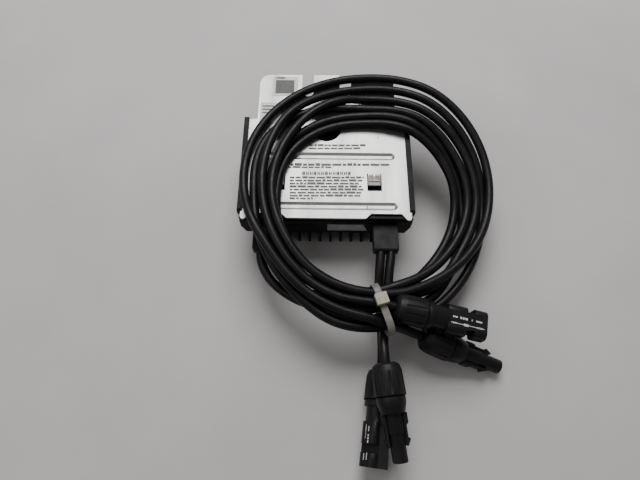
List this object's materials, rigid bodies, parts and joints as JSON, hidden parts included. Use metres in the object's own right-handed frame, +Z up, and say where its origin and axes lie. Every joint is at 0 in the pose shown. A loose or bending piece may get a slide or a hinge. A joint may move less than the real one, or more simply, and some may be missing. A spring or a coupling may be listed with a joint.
{
  "type": "solar power optimizer",
  "caption": "Finned black solar power optimizer with a stamped steel mounting bracket, short input leads and a wound pair of output cables with plug connectors.",
  "frame": {"origin": "on the plane of the fin tips, under the middle of the housing, bracket and cable glands", "axes": "+Z up out of the bracket's face, +Y from the cable glands to the bracket's slotted tab, +X to the right seen from the cable side"},
  "size_m": [0.1926, 0.2958, 0.0562],
  "materials": {
    "housing_finish": "satin black coating",
    "lid_finish": "matte black",
    "gasket_rubber": "matte",
    "bracket_steel": "satin",
    "gland_rubber": "matte",
    "board_laminate": "satin",
    "screw_steel": "plain",
    "pad_silicone": "matte",
    "core_ferrite": "matte",
    "winding_copper": "varnished",
    "film_box": "gloss",
    "can_metal": "satin",
    "semiconductor_mould": "matte",
    "terminal_metal": "plain",
    "wire_insulation": "satin",
    "connector_plastic": "fine matte",
    "nut_plastic": "fine matte",
    "seal_rubber": "matte",
    "contact_metal": "tinned",
    "cable_jacket": "satin",
    "tie_nylon": "satin"
  },
  "bodies": {
    "root": {"heat_sink_housing": "housing_finish", "housing_lid": "lid_finish", "lid_gasket": "gasket_rubber", "mounting_bracket": "bracket_steel", "output_cable_gland": "gland_rubber", "input_cable_gland": "gland_rubber", "circuit_board": "board_laminate", "board_screws": "screw_steel", "thermal_pad": "pad_silicone", "inductor_core": "core_ferrite", "inductor_winding": "winding_copper", "input_capacitors": "film_box", "output_capacitors": "can_metal", "power_transistors": "semiconductor_mould", "bypass_diode": "semiconductor_mould", "control_chip": "semiconductor_mould", "wire_terminals": "terminal_metal", "wire_tails": "wire_insulation", "cable_tie": "tie_nylon", "output_cable_coil": "cable_jacket", "input_cable_left": "cable_jacket", "input_cable_right": "cable_jacket", "output_cable_outer_start": "cable_jacket", "output_cable_inner_start": "cable_jacket", "output_cable_upper_end": "cable_jacket", "output_cable_lower_end": "cable_jacket", "upper_output_connector_body": "connector_plastic", "upper_output_cap_nut": "nut_plastic", "upper_output_seal": "seal_rubber", "upper_output_contact": "contact_metal", "lower_output_connector_body": "connector_plastic", "lower_output_cap_nut": "nut_plastic", "lower_output_seal": "seal_rubber", "lower_output_contact": "contact_metal", "left_input_connector_body": "connector_plastic", "left_input_cap_nut": "nut_plastic", "left_input_seal": "seal_rubber", "left_input_contact": "contact_metal", "right_input_connector_body": "connector_plastic", "right_input_cap_nut": "nut_plastic", "right_input_seal": "seal_rubber", "right_input_contact": "contact_metal"}
  },
  "joints": []
}
